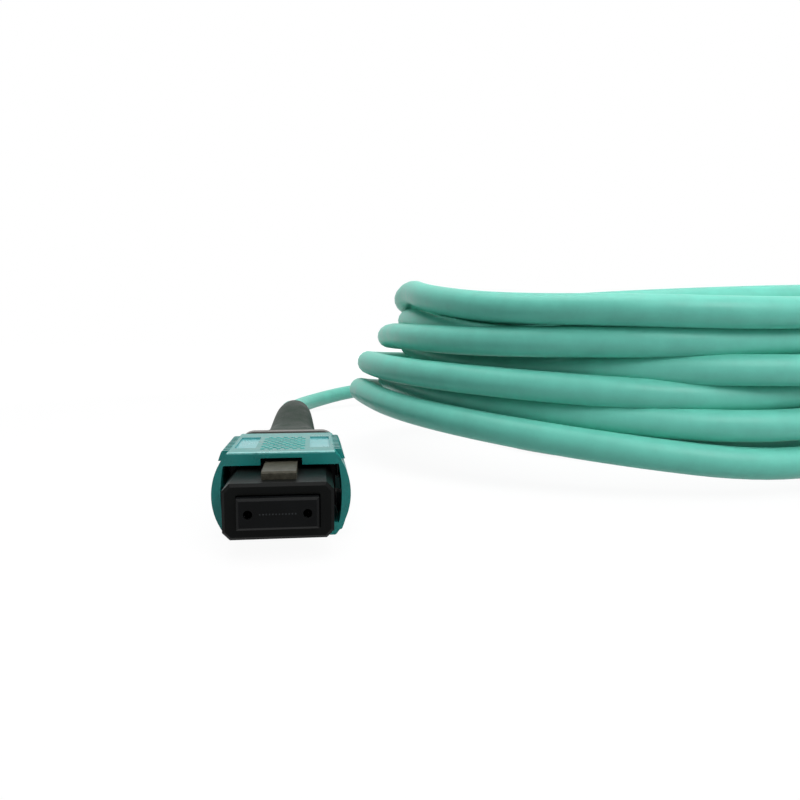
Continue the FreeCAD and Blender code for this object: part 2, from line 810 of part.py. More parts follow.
def connector(rise):
    """The pieces of one plug, whose boot is bent up by rise."""
    return {
        "inner_housing": inner_housing(),
        "coupling_sleeve": coupling_sleeve(),
        "mt_ferrule": ferrule(),
        "pin_keeper": pin_keeper(),
        "ferrule_boot": ferrule_boot(),
        "fibre_ribbon": fibre_ribbon(),
        "ferrule_spring": ferrule_spring(),
        "sleeve_spring_left": sleeve_spring(-1),
        "sleeve_spring_right": sleeve_spring(1),
        "rear_body": rear_body(),
        "aramid_yarn": aramid_yarn(),
        "crimp_ring": crimp_ring(),
        "strain_relief_boot": strain_relief_boot(rise),
    }


os.makedirs("parts", exist_ok=True)
pieces = connector(boot_rise)
for name, shape in connector(far_boot_rise).items():
    moved = shape.copy()
    moved.Placement = far_place().multiply(moved.Placement)
    pieces["far_" + name] = moved
pieces.update(cord())
for name, shape in pieces.items():
    shape.exportStep("parts/%s.step" % name)
    print(
        "%-26s valid %s solids %d volume %.2f" % (name, shape.isValid(), len(shape.Solids), shape.Volume)
    )
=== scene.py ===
"""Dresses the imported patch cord, adds its small pieces and cable, and sets the photo's stage.

Lengths are in millimetres unless a comment says otherwise, and become metres through MM.
"""

import math

import bpy
import numpy as np
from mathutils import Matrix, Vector

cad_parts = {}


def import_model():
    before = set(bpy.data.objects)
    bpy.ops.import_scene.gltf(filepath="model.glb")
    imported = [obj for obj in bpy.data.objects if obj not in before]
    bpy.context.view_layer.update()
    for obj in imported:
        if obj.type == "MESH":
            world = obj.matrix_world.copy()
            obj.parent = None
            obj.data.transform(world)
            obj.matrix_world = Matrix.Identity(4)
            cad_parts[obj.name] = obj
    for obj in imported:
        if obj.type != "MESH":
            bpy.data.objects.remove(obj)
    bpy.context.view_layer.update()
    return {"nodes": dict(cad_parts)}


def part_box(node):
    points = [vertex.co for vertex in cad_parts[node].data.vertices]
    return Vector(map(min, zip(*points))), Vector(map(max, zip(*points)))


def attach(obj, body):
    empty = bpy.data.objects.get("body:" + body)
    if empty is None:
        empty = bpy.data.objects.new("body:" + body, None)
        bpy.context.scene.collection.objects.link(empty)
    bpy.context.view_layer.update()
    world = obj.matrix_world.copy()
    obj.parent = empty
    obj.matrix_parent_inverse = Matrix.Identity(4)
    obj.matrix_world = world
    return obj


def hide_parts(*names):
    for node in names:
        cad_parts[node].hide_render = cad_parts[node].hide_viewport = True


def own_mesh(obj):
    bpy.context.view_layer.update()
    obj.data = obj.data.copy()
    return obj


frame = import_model()
nodes = frame["nodes"]
scene = bpy.context.scene

MM = 0.001
CABLE_RADIUS = 1.8
PLUG_AXIS = 3.725             # height of the plug's middle line
FAR_X, FAR_Y = 108.0, 3.0     # from the near plug to the far one


def added(name, data):
    """A new object in the scene."""
    obj = bpy.data.objects.new(name, data)
    scene.collection.objects.link(obj)
    return obj


# ---------------------------------------------------------------- shader nodes


BUMP_STRENGTH = 0.5
PAINT_EDGE = 0.03             # width over which a painted area fades
NOISE_LOW, NOISE_HIGH = 0.3, 0.7    # where most of a noise's values lie


def new_material(name):
    """A material, its node tree and its Principled shader."""
    material = bpy.data.materials.new(name)
    material.use_nodes = True
    tree = material.node_tree
    return material, tree, tree.nodes["Principled BSDF"]


def place_of(tree, middle=(0.0, 0.0, 0.0), stretch=(1.0, 1.0, 1.0)):
    """The point shaded, in millimetres from middle, stretched per axis."""
    coordinates = tree.nodes.new("ShaderNodeTexCoord")
    mapping = tree.nodes.new("ShaderNodeMapping")
    mapping.inputs["Scale"].default_value = [share / MM for share in stretch]
    mapping.inputs["Location"].default_value = [
        -at * share for at, share in zip(middle, stretch)
    ]
    tree.links.new(coordinates.outputs["Object"], mapping.inputs["Vector"])
    return mapping.outputs["Vector"]


def noise(tree, place, scale, detail=3.0, rough=0.5):
    texture = tree.nodes.new("ShaderNodeTexNoise")
    texture.inputs["Scale"].default_value = scale
    texture.inputs["Detail"].default_value = detail
    texture.inputs["Roughness"].default_value = rough
    tree.links.new(place, texture.inputs["Vector"])
    return texture.outputs["Fac"]


def ramp(tree, value, stops, constant=False):
    """Colours along a value: stops are (position, colour)."""
    node = tree.nodes.new("ShaderNodeValToRGB")
    if constant:
        node.color_ramp.interpolation = "CONSTANT"
    elements = node.color_ramp.elements
    while len(elements) < len(stops):
        elements.new(0.5)
    for element, (position, colour) in zip(elements, stops):
        element.position = position
        element.color = (*colour, 1.0)
    tree.links.new(value, node.inputs["Fac"])
    return node.outputs["Color"]


def spread(tree, value, low, high, source=(NOISE_LOW, NOISE_HIGH)):
    """A value moved from the source range to low..high."""
    node = tree.nodes.new("ShaderNodeMapRange")
    ends = (*source, low, high)
    for name, number in zip(("From Min", "From Max", "To Min", "To Max"), ends):
        node.inputs[name].default_value = number
    tree.links.new(value, node.inputs["Value"])
    return node.outputs["Result"]


def mathematics(tree, operation, first, second=0.0, third=0.0):
    """One operation on floats or sockets."""
    node = tree.nodes.new("ShaderNodeMath")
    node.operation = operation
    for socket, value in zip(node.inputs, (first, second, third)):
        if isinstance(value, float):
            socket.default_value = value
        else:
            tree.links.new(value, socket)
    return node.outputs[0]


def mixed(tree, factor, first, second):
    """A colour between two, which are colours or sockets."""
    node = tree.nodes.new("ShaderNodeMix")
    node.data_type = "RGBA"
    sockets = [node.inputs[i] for i in (0, 6, 7)]    # the factor, and the two colours
    for socket, value in zip(sockets, (factor, first, second)):
        if isinstance(value, float):
            socket.default_value = value
        elif isinstance(value, tuple):
            socket.default_value = (*value, 1.0)
        else:
            tree.links.new(value, socket)
    return node.outputs[2]


def bumped(tree, shader, height, distance):
    """Gives the shader a fine relief of this depth."""
    node = tree.nodes.new("ShaderNodeBump")
    node.inputs["Strength"].default_value = BUMP_STRENGTH
    node.inputs["Distance"].default_value = distance * MM
    tree.links.new(height, node.inputs["Height"])
    tree.links.new(node.outputs["Normal"], shader.inputs["Normal"])


def inside(tree, place, middle, size):
    """1 within a box about middle, 0 outside."""
    parts = tree.nodes.new("ShaderNodeSeparateXYZ")
    tree.links.new(place, parts.inputs[0])
    result = None
    for socket, at, wide in zip(parts.outputs, middle, size):
        away = mathematics(
            tree, "ABSOLUTE", mathematics(tree, "SUBTRACT", socket, float(at))
        )
        within = spread(tree, away, 1.0, 0.0, (wide / 2, wide / 2 + PAINT_EDGE))
        if result is None:
            result = within
        else:
            result = mathematics(tree, "MULTIPLY", result, within)
    return result


# ---------------------------------------------------------------- materials


CLOUD_SCALE, CLOUD_DETAIL, CLOUD_ROUGH = 0.35, 4.0, 0.6    # slow changes of colour and gloss
GRAIN_DETAIL = 2.0
GRAIN_IN_GLOSS = 0.4
GLOSS_RANGE = (0.45, 0.95)                 # of clouds and grain together
GLOSS_LEAST, GLOSS_MOST = 0.8, 1.25        # times the material's roughness


def tinted(colour, share):
    """A colour made lighter, or darker with a share below 1."""
    return tuple(min(part * share, 1.0) for part in colour)


def surface(
    name, colour, roughness, grain, relief, contrast, extra=None,
    stretch=(1.0, 1.0, 1.0), middle=(0.0, 0.0, 0.0), **inputs,
):
    """A Principled material with clouded colour, uneven gloss and a fine grain.

    extra(tree, place, colour) may paint over the colour, and returns the new one.
    The inputs are the shader's own, with _ for a space.
    """
    material, tree, shader = new_material(name)
    for socket, value in inputs.items():
        shader.inputs[socket.replace("_", " ")].default_value = value
    place = place_of(tree, middle, stretch)
    clouds = noise(tree, place, CLOUD_SCALE, CLOUD_DETAIL, CLOUD_ROUGH)
    fine = noise(tree, place, grain, GRAIN_DETAIL)
    paint = ramp(tree, clouds, (
        (NOISE_LOW, tinted(colour, 1 - contrast)),
        (0.5, colour),
        (NOISE_HIGH, tinted(colour, 1 + contrast)),
    ))
    if extra:
        paint = extra(tree, place, paint)
    tree.links.new(paint, shader.inputs["Base Color"])
    gloss = mathematics(tree, "MULTIPLY_ADD", fine, GRAIN_IN_GLOSS, clouds)
    uneven = spread(
        tree, gloss, roughness * GLOSS_LEAST, roughness * GLOSS_MOST, GLOSS_RANGE
    )
    tree.links.new(uneven, shader.inputs["Roughness"])
    bumped(tree, shader, fine, relief)
    return material


PAD_MIDDLE = (3.4, 0.0)       # of the right thumb pad
PAD_SIZE = (1.9, 7.4)
PAD_DEPTH = 0.3               # how far the paint reaches in from the top and underside
PAD_TINT = (0.13, 0.44, 0.45)
PAST_PLUG = 30.0              # wider and longer than the sleeve
# A painted highlight along the sleeve's front edge on top, made patchy by noise.
RIM_MIDDLE = (0.0, -6.5, 2 * PLUG_AXIS)      # the sleeve's front edge, on top
RIM_SIZE = (9.3, 0.75, 0.2)
RIM_NOISE, RIM_HIGHLIGHT_LEAST = 3.0, 0.5
HIGHLIGHT_AQUA = (0.2, 0.64, 0.61)
KEY_MIDDLE = (0.0, -7.4, 6.35)
KEY_SIZE = (2.9, 8.4, 0.7)
KEY_NOISE = 2.2
RUBBED_KEY = (
    (NOISE_LOW, (0.048, 0.046, 0.034)),
    (NOISE_HIGH, (0.088, 0.083, 0.063)),
)
RIBBON_WIDTH = 3.1
RIBBON_MATRIX = 0.25          # share of the matrix in the ribbon's colour
FIBRE_COLOURS = (
    (0.02, 0.12, 0.5), (0.8, 0.22, 0.02), (0.02, 0.35, 0.08), (0.16, 0.06, 0.02),
    (0.2, 0.22, 0.25), (0.8, 0.8, 0.78), (0.6, 0.02, 0.02), (0.02, 0.02, 0.02),
    (0.8, 0.6, 0.03), (0.2, 0.05, 0.35), (0.8, 0.3, 0.35), (0.1, 0.55, 0.55),
)
YARN_NOISE, YARN_DETAIL = 9.0, 2.0
YARN_STRANDS = ((0.35, (0.38, 0.26, 0.03)), (0.65, (0.8, 0.6, 0.13)))


def sleeve_paint(tree, place, paint):
    """Paler thumb pads on top and underneath, and a painted highlight along the front edge on
    top.
    """
    core_size = (PAST_PLUG, PAST_PLUG, 2 * (PLUG_AXIS - PAD_DEPTH))
    core = inside(tree, place, (0.0, 0.0, PLUG_AXIS), core_size)
    skin = mathematics(tree, "SUBTRACT", 1.0, core)
    for side in (-1, 1):
        middle = (side * PAD_MIDDLE[0], PAD_MIDDLE[1], PLUG_AXIS)
        pad = inside(tree, place, middle, (*PAD_SIZE, 2 * PLUG_AXIS))
        paint = mixed(tree, mathematics(tree, "MULTIPLY", pad, skin), paint, PAD_TINT)
    # Painted highlight on the top front edge, its strength varied by noise.
    edge = inside(tree, place, RIM_MIDDLE, RIM_SIZE)
    patchy_highlight = spread(tree, noise(tree, place, RIM_NOISE), RIM_HIGHLIGHT_LEAST, 1.0)
    return mixed(tree, mathematics(tree, "MULTIPLY", edge, patchy_highlight), paint, HIGHLIGHT_AQUA)


def housing_paint(tree, place, paint):
    """The key's lighter, rubbed top."""
    key = inside(tree, place, KEY_MIDDLE, KEY_SIZE)
    rubbed = ramp(tree, noise(tree, place, KEY_NOISE), RUBBED_KEY)
    return mixed(tree, key, paint, rubbed)


def ribbon_paint(tree, place, paint):
    """Twelve fibres side by side, in the standard order of colours."""
    parts = tree.nodes.new("ShaderNodeSeparateXYZ")
    tree.links.new(place, parts.inputs[0])
    across = spread(
        tree, parts.outputs[0], 0.0, 1.0, (-RIBBON_WIDTH / 2, RIBBON_WIDTH / 2)
    )
    stops = [(i / len(FIBRE_COLOURS), colour) for i, colour in enumerate(FIBRE_COLOURS)]
    return mixed(tree, RIBBON_MATRIX, ramp(tree, across, stops, constant=True), paint)


def yarn_paint(tree, place, paint):
    """Light and dark strands along the plug."""
    return ramp(tree, noise(tree, place, YARN_NOISE, YARN_DETAIL), YARN_STRANDS)


# A look is what surface() takes: colour is linear, grain is the scale of the fine noise.
LOOKS = {
    "aqua_plastic": dict(
        colour=(0.007, 0.24, 0.22), roughness=0.3, grain=6.0, relief=0.006, contrast=0.12,
        extra=sleeve_paint, Specular_IOR_Level=0.3,
    ),
    "black_plastic": dict(
        colour=(0.003, 0.0036, 0.0034), roughness=0.36, grain=5.0, relief=0.006, contrast=0.3,
        extra=housing_paint, Specular_IOR_Level=0.07,
    ),
    "ferrule_resin": dict(
        colour=(0.0035, 0.004, 0.0044), roughness=0.3, grain=12.0, relief=0.002, contrast=0.35,
        Specular_IOR_Level=0.07,
    ),
    "spring_steel": dict(
        colour=(0.36, 0.36, 0.35), roughness=0.35, grain=8.0, relief=0.002, contrast=0.08,
        Metallic=1.0,
    ),
    "grey_plastic": dict(
        colour=(0.11, 0.1, 0.09), roughness=0.45, grain=5.0, relief=0.006, contrast=0.15,
    ),
    "pad_rubber": dict(
        colour=(0.45, 0.46, 0.44), roughness=0.6, grain=6.0, relief=0.01, contrast=0.1,
    ),
    "boot_rubber": dict(
        colour=(0.016, 0.028, 0.02), roughness=0.55, grain=4.0, relief=0.012, contrast=0.25,
        Specular_IOR_Level=0.14,
    ),
    "nickel": dict(
        colour=(0.62, 0.58, 0.52), roughness=0.24, grain=3.0, relief=0.003, contrast=0.1,
        stretch=(6.0, 0.6, 6.0), Metallic=1.0,
    ),
    "aramid": dict(
        colour=(0.7, 0.5, 0.1), roughness=0.7, grain=7.0, relief=0.05, contrast=0.2,
        extra=yarn_paint, stretch=(4.0, 0.25, 4.0),
    ),
    "ribbon": dict(
        colour=(0.6, 0.62, 0.6), roughness=0.25, grain=5.0, relief=0.004, contrast=0.1,
        extra=ribbon_paint,
    ),
}
# The dots' plastic is the sleeve's aqua painted paler: painted light that lifts them out of the
# shade between them.
DOTS_LOOK = dict(
    colour=(0.02, 0.34, 0.31), roughness=0.3, grain=6.0, relief=0.004, contrast=0.15,
    Specular_IOR_Level=0.3,
)
GLASS_LOOK = dict(
    colour=(0.02, 0.024, 0.026), roughness=0.2, grain=20.0, relief=0.001, contrast=0.1,
    Specular_IOR_Level=0.2,
)
JACKET_LOOK = dict(
    colour=(0.155, 0.61, 0.49), roughness=0.42, grain=2.5, relief=0.01, contrast=0.07,
    Specular_IOR_Level=0.35,
)
MADE_OF = {                   # each node of a plug, and its look
    "coupling_sleeve": "aqua_plastic",
    "inner_housing": "black_plastic",
    "mt_ferrule": "ferrule_resin",
    "pin_keeper": "spring_steel",
    "ferrule_spring": "spring_steel",
    "sleeve_spring_left": "spring_steel",
    "sleeve_spring_right": "spring_steel",
    "rear_body": "grey_plastic",
    "ferrule_boot": "pad_rubber",
    "strain_relief_boot": "boot_rubber",
    "crimp_ring": "nickel",
    "aramid_yarn": "aramid",
    "fibre_ribbon": "ribbon",
}


def dress(prefix, middle):
    """Gives every node of one plug its material."""
    materials = {
        name: surface(prefix + name, middle=middle, **look) for name, look in LOOKS.items()
    }
    for node, name in MADE_OF.items():
        obj = nodes[prefix + node]
        if not obj.material_slots:
            obj.data.materials.append(materials[name])
        for slot in obj.material_slots:
            slot.material = materials[name]


dress("", (0.0, 0.0, 0.0))
dress("far_", (FAR_X, FAR_Y, 0.0))


# ---------------------------------------------------------------- small pieces


TUBE_RESOLUTION = 6           # round a drawn tube
BUMP_SIDES = 12
BUMP_RINGS = ((1.0, -0.2), (0.97, 0.25), (0.8, 0.65), (0.45, 0.92))    # radius, height


def spline_object(name, points, radius, resolution=8):
    """A round tube on one smooth NURBS spline with these control points."""
    curve = bpy.data.curves.new(name, "CURVE")
    curve.dimensions = "3D"
    curve.bevel_depth = radius * MM
    curve.bevel_resolution = TUBE_RESOLUTION
    curve.use_fill_caps = True
    curve.resolution_u = resolution
    spline = curve.splines.new("NURBS")
    spline.points.add(len(points) - 1)
    for target, point in zip(spline.points, points):
        target.co = (point[0] * MM, point[1] * MM, point[2] * MM, 1.0)
    spline.order_u = 3
    spline.use_endpoint_u = True
    return added(name, curve)


def mesh_piece(name, vertices, faces, material, body, smooth=True):
    """A mesh that rides on a body."""
    mesh = bpy.data.meshes.new(name)
    mesh.from_pydata([[part * MM for part in vertex] for vertex in vertices], [], faces)
    mesh.polygons.foreach_set("use_smooth", [smooth] * len(mesh.polygons))
    mesh.materials.append(material)
    piece = added(name, mesh)
    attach(piece, body)
    return piece


def box_of(node):
    """A node's lowest and highest corner."""
    return [corner / MM for corner in map(Vector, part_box(node))]


def bumps(places, radius, height, normal):
    """Vertices and faces of small round bumps that stand out along normal."""
    across = Vector((1.0, 0.0, 0.0))
    up = Vector(normal).cross(across)
    vertices, faces = [], []
    for place in places:
        first = len(vertices)
        for share, level in BUMP_RINGS:
            for i in range(BUMP_SIDES):
                angle = 2 * math.pi * i / BUMP_SIDES
                out = (across * math.cos(angle) + up * math.sin(angle)) * radius * share
                vertices.append(Vector(place) + out + Vector(normal) * height * level)
        for ring in range(len(BUMP_RINGS) - 1):
            start = first + ring * BUMP_SIDES
            for i in range(BUMP_SIDES):
                a, b = start + i, start + (i + 1) % BUMP_SIDES
                faces.append((a, b, b + BUMP_SIDES, a + BUMP_SIDES))
        last = first + (len(BUMP_RINGS) - 1) * BUMP_SIDES
        vertices.append(Vector(place) + Vector(normal) * height)
        for i in range(BUMP_SIDES):
            faces.append((last + i, last + (i + 1) % BUMP_SIDES, len(vertices) - 1))
    return vertices, faces


DOT_PITCH = (0.72, 0.84)
DOT_ROWS, DOT_COLUMNS = 10, 6
DOT_RADIUS, DOT_HEIGHT = 0.24, 0.07
DOTS_FORWARD = 0.6            # the field's middle is this far in front of the sleeve's
FIBRE_COUNT, FIBRE_PITCH = 12, 0.25
FIBRE_RADIUS, FIBRE_HEIGHT = 0.0625, 0.006


def grip_dots(prefix, middle_x):
    """A plain field of raised dots between the thumb pads."""
    low, high = box_of(prefix + "coupling_sleeve")
    start = (low.y + high.y) / 2 - DOT_PITCH[1] * (DOT_ROWS - 1) / 2 - DOTS_FORWARD
    places = []
    for row in range(DOT_ROWS):
        columns = DOT_COLUMNS - row % 2
        for column in range(columns):
            x = middle_x + (column - (columns - 1) / 2) * DOT_PITCH[0]
            places.append((x, start + row * DOT_PITCH[1], high.z))
    vertices, faces = bumps(places, DOT_RADIUS, DOT_HEIGHT, (0.0, 0.0, 1.0))
    # A paler plastic on the dots, as painted light.
    paint = surface(prefix + "dots_painted_light", **DOTS_LOOK)
    return mesh_piece(
        prefix + "grip_dots", vertices, faces, paint, prefix + "sleeve"
    )


def fibre_ends(prefix, middle_x):
    """The polished ends of the fibres in the ferrule's face."""
    face = box_of(prefix + "mt_ferrule")[0].y
    places = [
        (middle_x + (i - (FIBRE_COUNT - 1) / 2) * FIBRE_PITCH, face, PLUG_AXIS)
        for i in range(FIBRE_COUNT)
    ]
    vertices, faces = bumps(places, FIBRE_RADIUS, FIBRE_HEIGHT, (0.0, -1.0, 0.0))
    glass = surface(prefix + "fibre_glass", **GLASS_LOOK)
    return mesh_piece(
        prefix + "fibre_ends", vertices, faces, glass, prefix + "ferrule"
    )


RIB_INSIDE, RIB_OUTSIDE = 4.95, 5.27    # from the plug's middle line
RIB_FRONT, RIB_REAR = 6.35, 6.65        # behind the sleeve's middle
RIB_HALF_HEIGHT = 2.0
BOX_FACES = [(0, 1, 3, 2), (4, 6, 7, 5), (0, 4, 5, 1), (2, 3, 7, 6), (0, 2, 6, 4), (1, 5, 7, 3)]


def guide_ribs(prefix, middle_x):
    """Low ribs inside the sleeve's sides that centre it on the housing."""
    low, high = box_of(prefix + "coupling_sleeve")
    middle_y = (low.y + high.y) / 2
    vertices, faces = [], []
    for side in (-1, 1):
        first = len(vertices)
        for across in (side * RIB_INSIDE, side * RIB_OUTSIDE):
            for along in (RIB_FRONT, RIB_REAR):
                for up in (-RIB_HALF_HEIGHT, RIB_HALF_HEIGHT):
                    vertices.append((middle_x + across, middle_y + along, PLUG_AXIS + up))
        faces += [tuple(first + corner for corner in face) for face in BOX_FACES]
    paint = nodes[prefix + "coupling_sleeve"].material_slots[0].material
    return mesh_piece(
        prefix + "guide_ribs", vertices, faces, paint, prefix + "sleeve",
        smooth=False,
    )


SPRING_POINTS = 20            # per turn
SPRING_RESOLUTION = 2
CLOSED_PITCH = 1.05           # of the end turns, in wire diameters
OVAL_SWITCH = 4               # how fast an oval spring's wire crosses its straight part
SPRINGS = (                   # node, wire, turns, joint, travel
    ("sleeve_spring_left", 0.2, 9, "sleeve_slide", 2.8),
    ("sleeve_spring_right", 0.2, 9, "sleeve_slide", 2.8),
    ("ferrule_spring", 0.42, 7, "ferrule_float", 0.6),
)


def spring_line(low, high, wire, turns):
    """Middle line of a round or oval spring in this box, with closed end turns."""
    x, z = (low.x + high.x) / 2, (low.z + high.z) / 2
    radius = (high.z - low.z - wire) / 2
    straight = (high.x - low.x - wire) / 2 - radius
    closed = wire * CLOSED_PITCH
    pitch = (high.y - low.y - wire - 2 * closed) / (turns - 2)
    points = []
    for i in range(turns * SPRING_POINTS + 1):
        turn = i / SPRING_POINTS
        y = closed * min(turn, 1.0) + pitch * min(max(turn - 1.0, 0.0), turns - 2)
        y += closed * max(turn - turns + 1, 0.0)
        side, up = math.cos(2 * math.pi * turn), math.sin(2 * math.pi * turn)
        out = radius * side + straight * max(min(side * OVAL_SWITCH, 1.0), -1.0)
        points.append((x + out, low.y + wire / 2 + y, z + radius * up))
    return points


def spring(prefix, node, wire, turns, joint, travel, steel):
    """A round-wire spring drawn in its node's place, which it hides."""
    low, high = box_of(prefix + node)
    name = prefix + node.replace("spring", "coil")
    line = spring_line(low, high, wire, turns)
    drawn = spline_object(name + "_line", line, wire / 2, SPRING_RESOLUTION)
    evaluated = drawn.evaluated_get(bpy.context.evaluated_depsgraph_get())
    mesh = bpy.data.meshes.new_from_object(evaluated)
    bpy.data.objects.remove(drawn)
    mesh.materials.clear()
    mesh.materials.append(steel)
    piece = added(name, mesh)
    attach(piece, "root")
    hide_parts(prefix + node)
    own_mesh(piece)
    return piece


def small_pieces(prefix, middle_x):
    """Everything that one plug has beside its nodes."""
    steel = nodes[prefix + "ferrule_spring"].material_slots[0].material
    coils = [spring(prefix, *row, steel) for row in SPRINGS]
    return [
        grip_dots(prefix, middle_x),
        fibre_ends(prefix, middle_x),
        guide_ribs(prefix, middle_x),
        *coils,
    ]


small_pieces("", 0.0)
far_pieces = small_pieces("far_", FAR_X)
far_pieces += [obj for name, obj in nodes.items() if name.startswith("far_")]


# ---------------------------------------------------------------- cord


CABLE_START = 16.0            # the cable's end, inside the crimp ring
BOOT_BEND, BOOT_BEND_END = 24.5, 34.5
BOOT_TIP = 39.0
CABLE_STRAIGHT = 5.0          # past the boot's tip
BOOT_RISE, FAR_BOOT_RISE = 2.43, 1.0


def boot_points(rise):
    """The cable's way through the boot, from inside the crimp ring to behind the tip."""
    return [
        (0.0, CABLE_START, PLUG_AXIS),
        (0.0, BOOT_BEND, PLUG_AXIS),
        (0.0, BOOT_BEND_END, PLUG_AXIS + rise),
        (0.0, BOOT_TIP + CABLE_STRAIGHT, PLUG_AXIS + rise),
    ]


LEAD = [                      # from the near boot to the coil
    (-1.2, 58.0, 5.2),
    (-1.9, 74.0, 2.9),
    (-1.9, 91.0, 1.9),
    (-0.4, 109.0, 1.9),
    (13.0, 127.0, 4.0),
    (32.0, 136.0, 5.5),
    (52.0, 126.0, 7.5),
    (68.0, 106.0, 9.5),
    (80.0, 84.0, 11.5),
]
TAIL = [                      # from the coil to the far boot
    (95.0, 73.5, 1.9),
    (100.6, 64.0, 1.9),
    (105.2, 55.0, 3.2),
]

# Each turn of the coil, from the lead down to the tail: the middle it is wound round, then
# its radius and height at each of the STATIONS.
UPPER, LOWER = (49.7, 43.0), (68.0, 52.0)
STATIONS = (0.0, 0.235, 0.36, 0.49, 0.75)    # right, front, front left, left, back
TURNS = [
    (UPPER, (43.4, 12.8), (40.5, 13.5), (35.7, 13.2), (31.4, 16.4), (34.5, 17.5)),
    (UPPER, (34.7, 19.6), (34.5, 18.0), (35.6, 17.2), (31.6, 21.2), (34.2, 21.4)),
    (UPPER, (34.4, 24.6), (36.3, 21.7), (35.5, 20.5), (27.8, 23.4), (33.2, 25.0)),
    (UPPER, (37.9, 22.2), (40.3, 19.8), (39.8, 20.6), (31.2, 24.9), (38.6, 20.5)),
    (UPPER, (38.4, 18.3), (38.3, 16.5), (39.5, 16.6), (34.7, 18.2), (38.6, 16.6)),
    (UPPER, (39.6, 14.7), (37.6, 11.3), (39.6, 13.0), (38.3, 14.4), (38.8, 12.7)),
    (UPPER, (40.0, 11.0), (40.4, 8.2), (37.6, 9.4), (34.9, 11.9), (38.9, 8.9)),
    (UPPER, (37.0, 8.6), (37.2, 5.4), (35.6, 6.2), (33.6, 8.3), (36.5, 5.5)),
    (UPPER, (41.0, 6.4), (40.7, 3.2), (40.6, 6.9), (39.9, 9.9), (40.6, 4.9)),
    (LOWER, (27.2, 2.2), (27.0, 1.8), (27.0, 1.8), (27.0, 1.8), (28.8, 1.8)),
    (LOWER, (30.7, 1.8), (30.7, 1.8), (30.7, 1.8), (30.7, 1.8), (32.4, 1.8)),
    (LOWER, (34.4, 1.8), (34.4, 1.8), (34.4, 1.8), (34.4, 1.8), (34.4, 1.8)),
]
POINTS_PER_TURN = 16
COIL_START = -0.075           # in turns from the right side
COIL_END = len(TURNS) - 0.165

SHARES = (0.0, 0.25, 0.5, 0.75)    # where the spline is looked at after each control point
SPACING = 3.66                # between the middles of two turns that touch
HALF_TURN = POINTS_PER_TURN * len(SHARES) // 2    # closer places are the same stretch of cable
SETTLED_LEAD = 3              # points at the lead's end that settle with the coil
ROUNDS = 120
PUSH = 0.3                    # share of an overlap that a round takes away
PULL = 0.012                  # share of the way back to where a point was wound
SMOOTH = 0.15                 # share of the way back to the bend it had


def wound_points():
    """The turns as they are wound, clockwise seen from above."""
    places = [turn + station for turn in range(len(TURNS)) for station in STATIONS]
    rows = [(*turn[0], *at) for turn in TURNS for at in turn[1:]]
    steps = int((COIL_END - COIL_START) * POINTS_PER_TURN)
    points = []
    for i in range(steps + 1):
        place = COIL_START + i / POINTS_PER_TURN
        angle = -2 * math.pi * place
        x, y, radius, height = [np.interp(place, places, column) for column in zip(*rows)]
        points.append((x + radius * math.cos(angle), y + radius * math.sin(angle), height))
    return points


def spline_basis(count):
    """The matrix from control points to places on their quadratic spline."""
    rows = []
    for i in range(1, count - 1):
        for share in SHARES:
            row = np.zeros(count)
            row[i - 1 : i + 2] = (
                (1 - share) ** 2 / 2,
                0.5 + share * (1 - share),
                share**2 / 2,
            )
            rows.append(row)
    return np.array(rows)


def bends(points):
    """How the line bends at each point, with nothing at its ends."""
    result = np.zeros_like(points)
    result[1:-1] = points[:-2] + points[2:] - 2 * points[1:-1]
    return result


def settled(points, first, last):
    """Pushes turns that lie in each other apart, and off the table, between two points."""
    free = np.array(points)
    wanted = free.copy()
    wanted_bends = bends(wanted)
    basis = spline_basis(len(free))
    along = np.arange(len(basis))
    apart = np.abs(along[:, None] - along[None]) > HALF_TURN
    held = np.zeros((len(free), 1))
    held[first:last] = 1.0
    for _ in range(ROUNDS):
        line = basis @ free
        gap = line[:, None] - line[None]
        distance = np.linalg.norm(gap, axis=2) + np.eye(len(line))
        excess = np.where(apart, np.maximum(SPACING - distance, 0.0), 0.0)
        push = (gap * (excess / distance)[..., None]).sum(axis=1) * PUSH
        push[:, 2] += np.maximum(CABLE_RADIUS - line[:, 2], 0.0)
        free += held * (basis.T @ push + (wanted - free) * PULL)
        free += held * (bends(free) - wanted_bends) * SMOOTH
    return [tuple(point) for point in free]


def cord_route():
    """Control points from the near plug, through the coil, to the far plug."""
    far_boot = [
        (FAR_X + x, FAR_Y + y, z) for x, y, z in reversed(boot_points(FAR_BOOT_RISE))
    ]
    near = boot_points(BOOT_RISE) + LEAD
    route = near + wound_points() + TAIL + far_boot
    first = len(near) - SETTLED_LEAD
    last = len(route) - len(far_boot) - len(TAIL)
    return settled(route, first, last)


cord = spline_object("cable", cord_route(), CABLE_RADIUS)
cord.data.materials.append(surface("cable_jacket", **JACKET_LOOK))
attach(cord, "root")
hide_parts("cable_lead", "cable_coil", "cable_tail")


# ---------------------------------------------------------------- stage


SEEN_RAYS = ("Is Camera Ray", "Is Glossy Ray", "Is Transmission Ray")
FLOOR_HALF = 6.0              # metres
FLOOR_GREY = (0.42, 0.42, 0.42, 1.0)
FLOOR_ROUGHNESS = 0.8
FLOOR_WHITE = 1.11            # strength of the white that the floor turns to
FLOOR_WHITE_MIDDLE = (50.0, 50.0, 0.0)
FLOOR_WHITE_FROM, FLOOR_WHITE_TO = 150.0, 450.0    # from that middle
FLOOR_LEAST, FLOOR_MOST = 0.85, 1.0                # share of white at those distances
WORLD_WHITE = (1.0, 1.0, 1.0, 1.0)
WORLD_GREY = (0.94, 0.98, 1.0, 1.0)
WORLD_LIGHT = 0.3


def seen_ray(tree):
    """1 for the rays that show a surface to the eye, also by reflection."""
    path = tree.nodes.new("ShaderNodeLightPath")
    result = path.outputs[SEEN_RAYS[0]]
    for name in SEEN_RAYS[1:]:
        result = mathematics(tree, "MAXIMUM", result, path.outputs[name])
    return result


